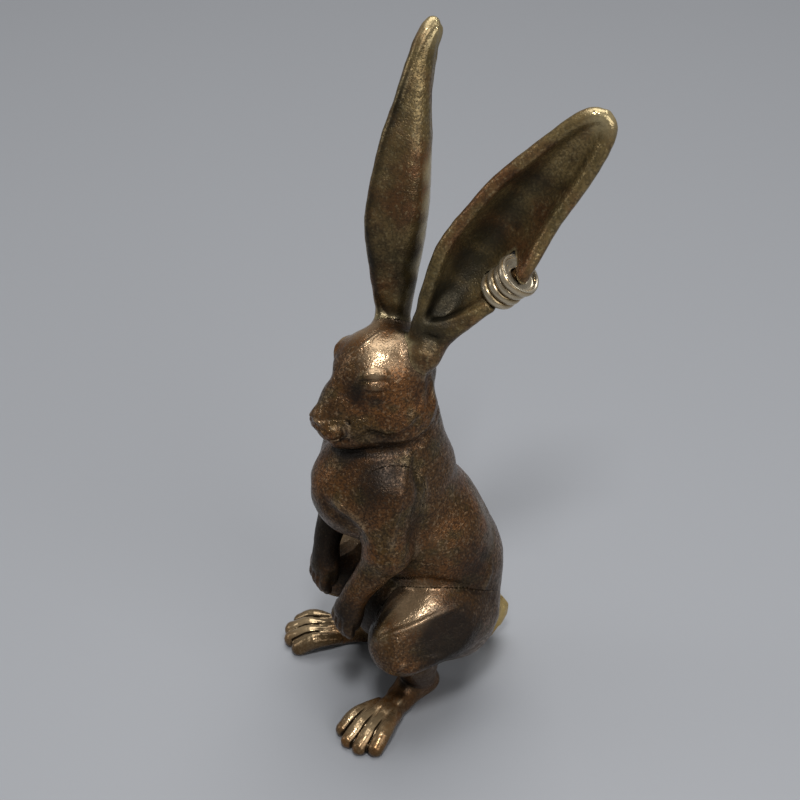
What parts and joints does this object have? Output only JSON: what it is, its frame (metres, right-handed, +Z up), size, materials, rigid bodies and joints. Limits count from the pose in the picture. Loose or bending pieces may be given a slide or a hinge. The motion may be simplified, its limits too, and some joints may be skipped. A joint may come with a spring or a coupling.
{
  "type": "rabbit figurine",
  "caption": "Sitting hare ornament in patinated cast brass, with long cupped ears and a ribbed cuff that turns on the rim of the leaning ear.",
  "frame": {"origin": "middle of the bounding box's bottom face, on the floor that the rabbit stands on", "axes": "+Z up, the rabbit looks along -Y, +X towards its left side"},
  "size_m": [0.0322, 0.0376, 0.098],
  "materials": {
    "brown_patina": "dark brown patina over cast brass, fine pitted grain, waxed to a soft gloss, warm where rubbed",
    "olive_patina": "brown to olive patina over cast brass, smoother in the cups, bright on the ear tips",
    "rubbed_patina": "brown patina rubbed through to warm brass on the toes",
    "bright_brass": "bare golden brass, lightly tarnished in the folds",
    "pale_brass": "pale greyish brass, polished on the ribs and dark in the grooves"
  },
  "bodies": {
    "rabbit": {"torso": "brown_patina", "head": "brown_patina", "ear_right": "olive_patina", "ear_left": "olive_patina", "foreleg_left": "brown_patina", "foreleg_right": "brown_patina", "haunch_left": "brown_patina", "haunch_right": "brown_patina", "hind_foot_left": "rubbed_patina", "hind_foot_right": "rubbed_patina", "tail": "bright_brass"},
    "ear_cuff": {"ear_cuff": "pale_brass"}
  },
  "joints": [
    {"name": "cuff_turn", "type": "hinge", "parent": "rabbit", "child": "ear_cuff", "pos_m": [0.00965, 0.00692, 0.06844], "axis": [0.5487, 0.3575, 0.7558], "continuous": true}
  ]
}
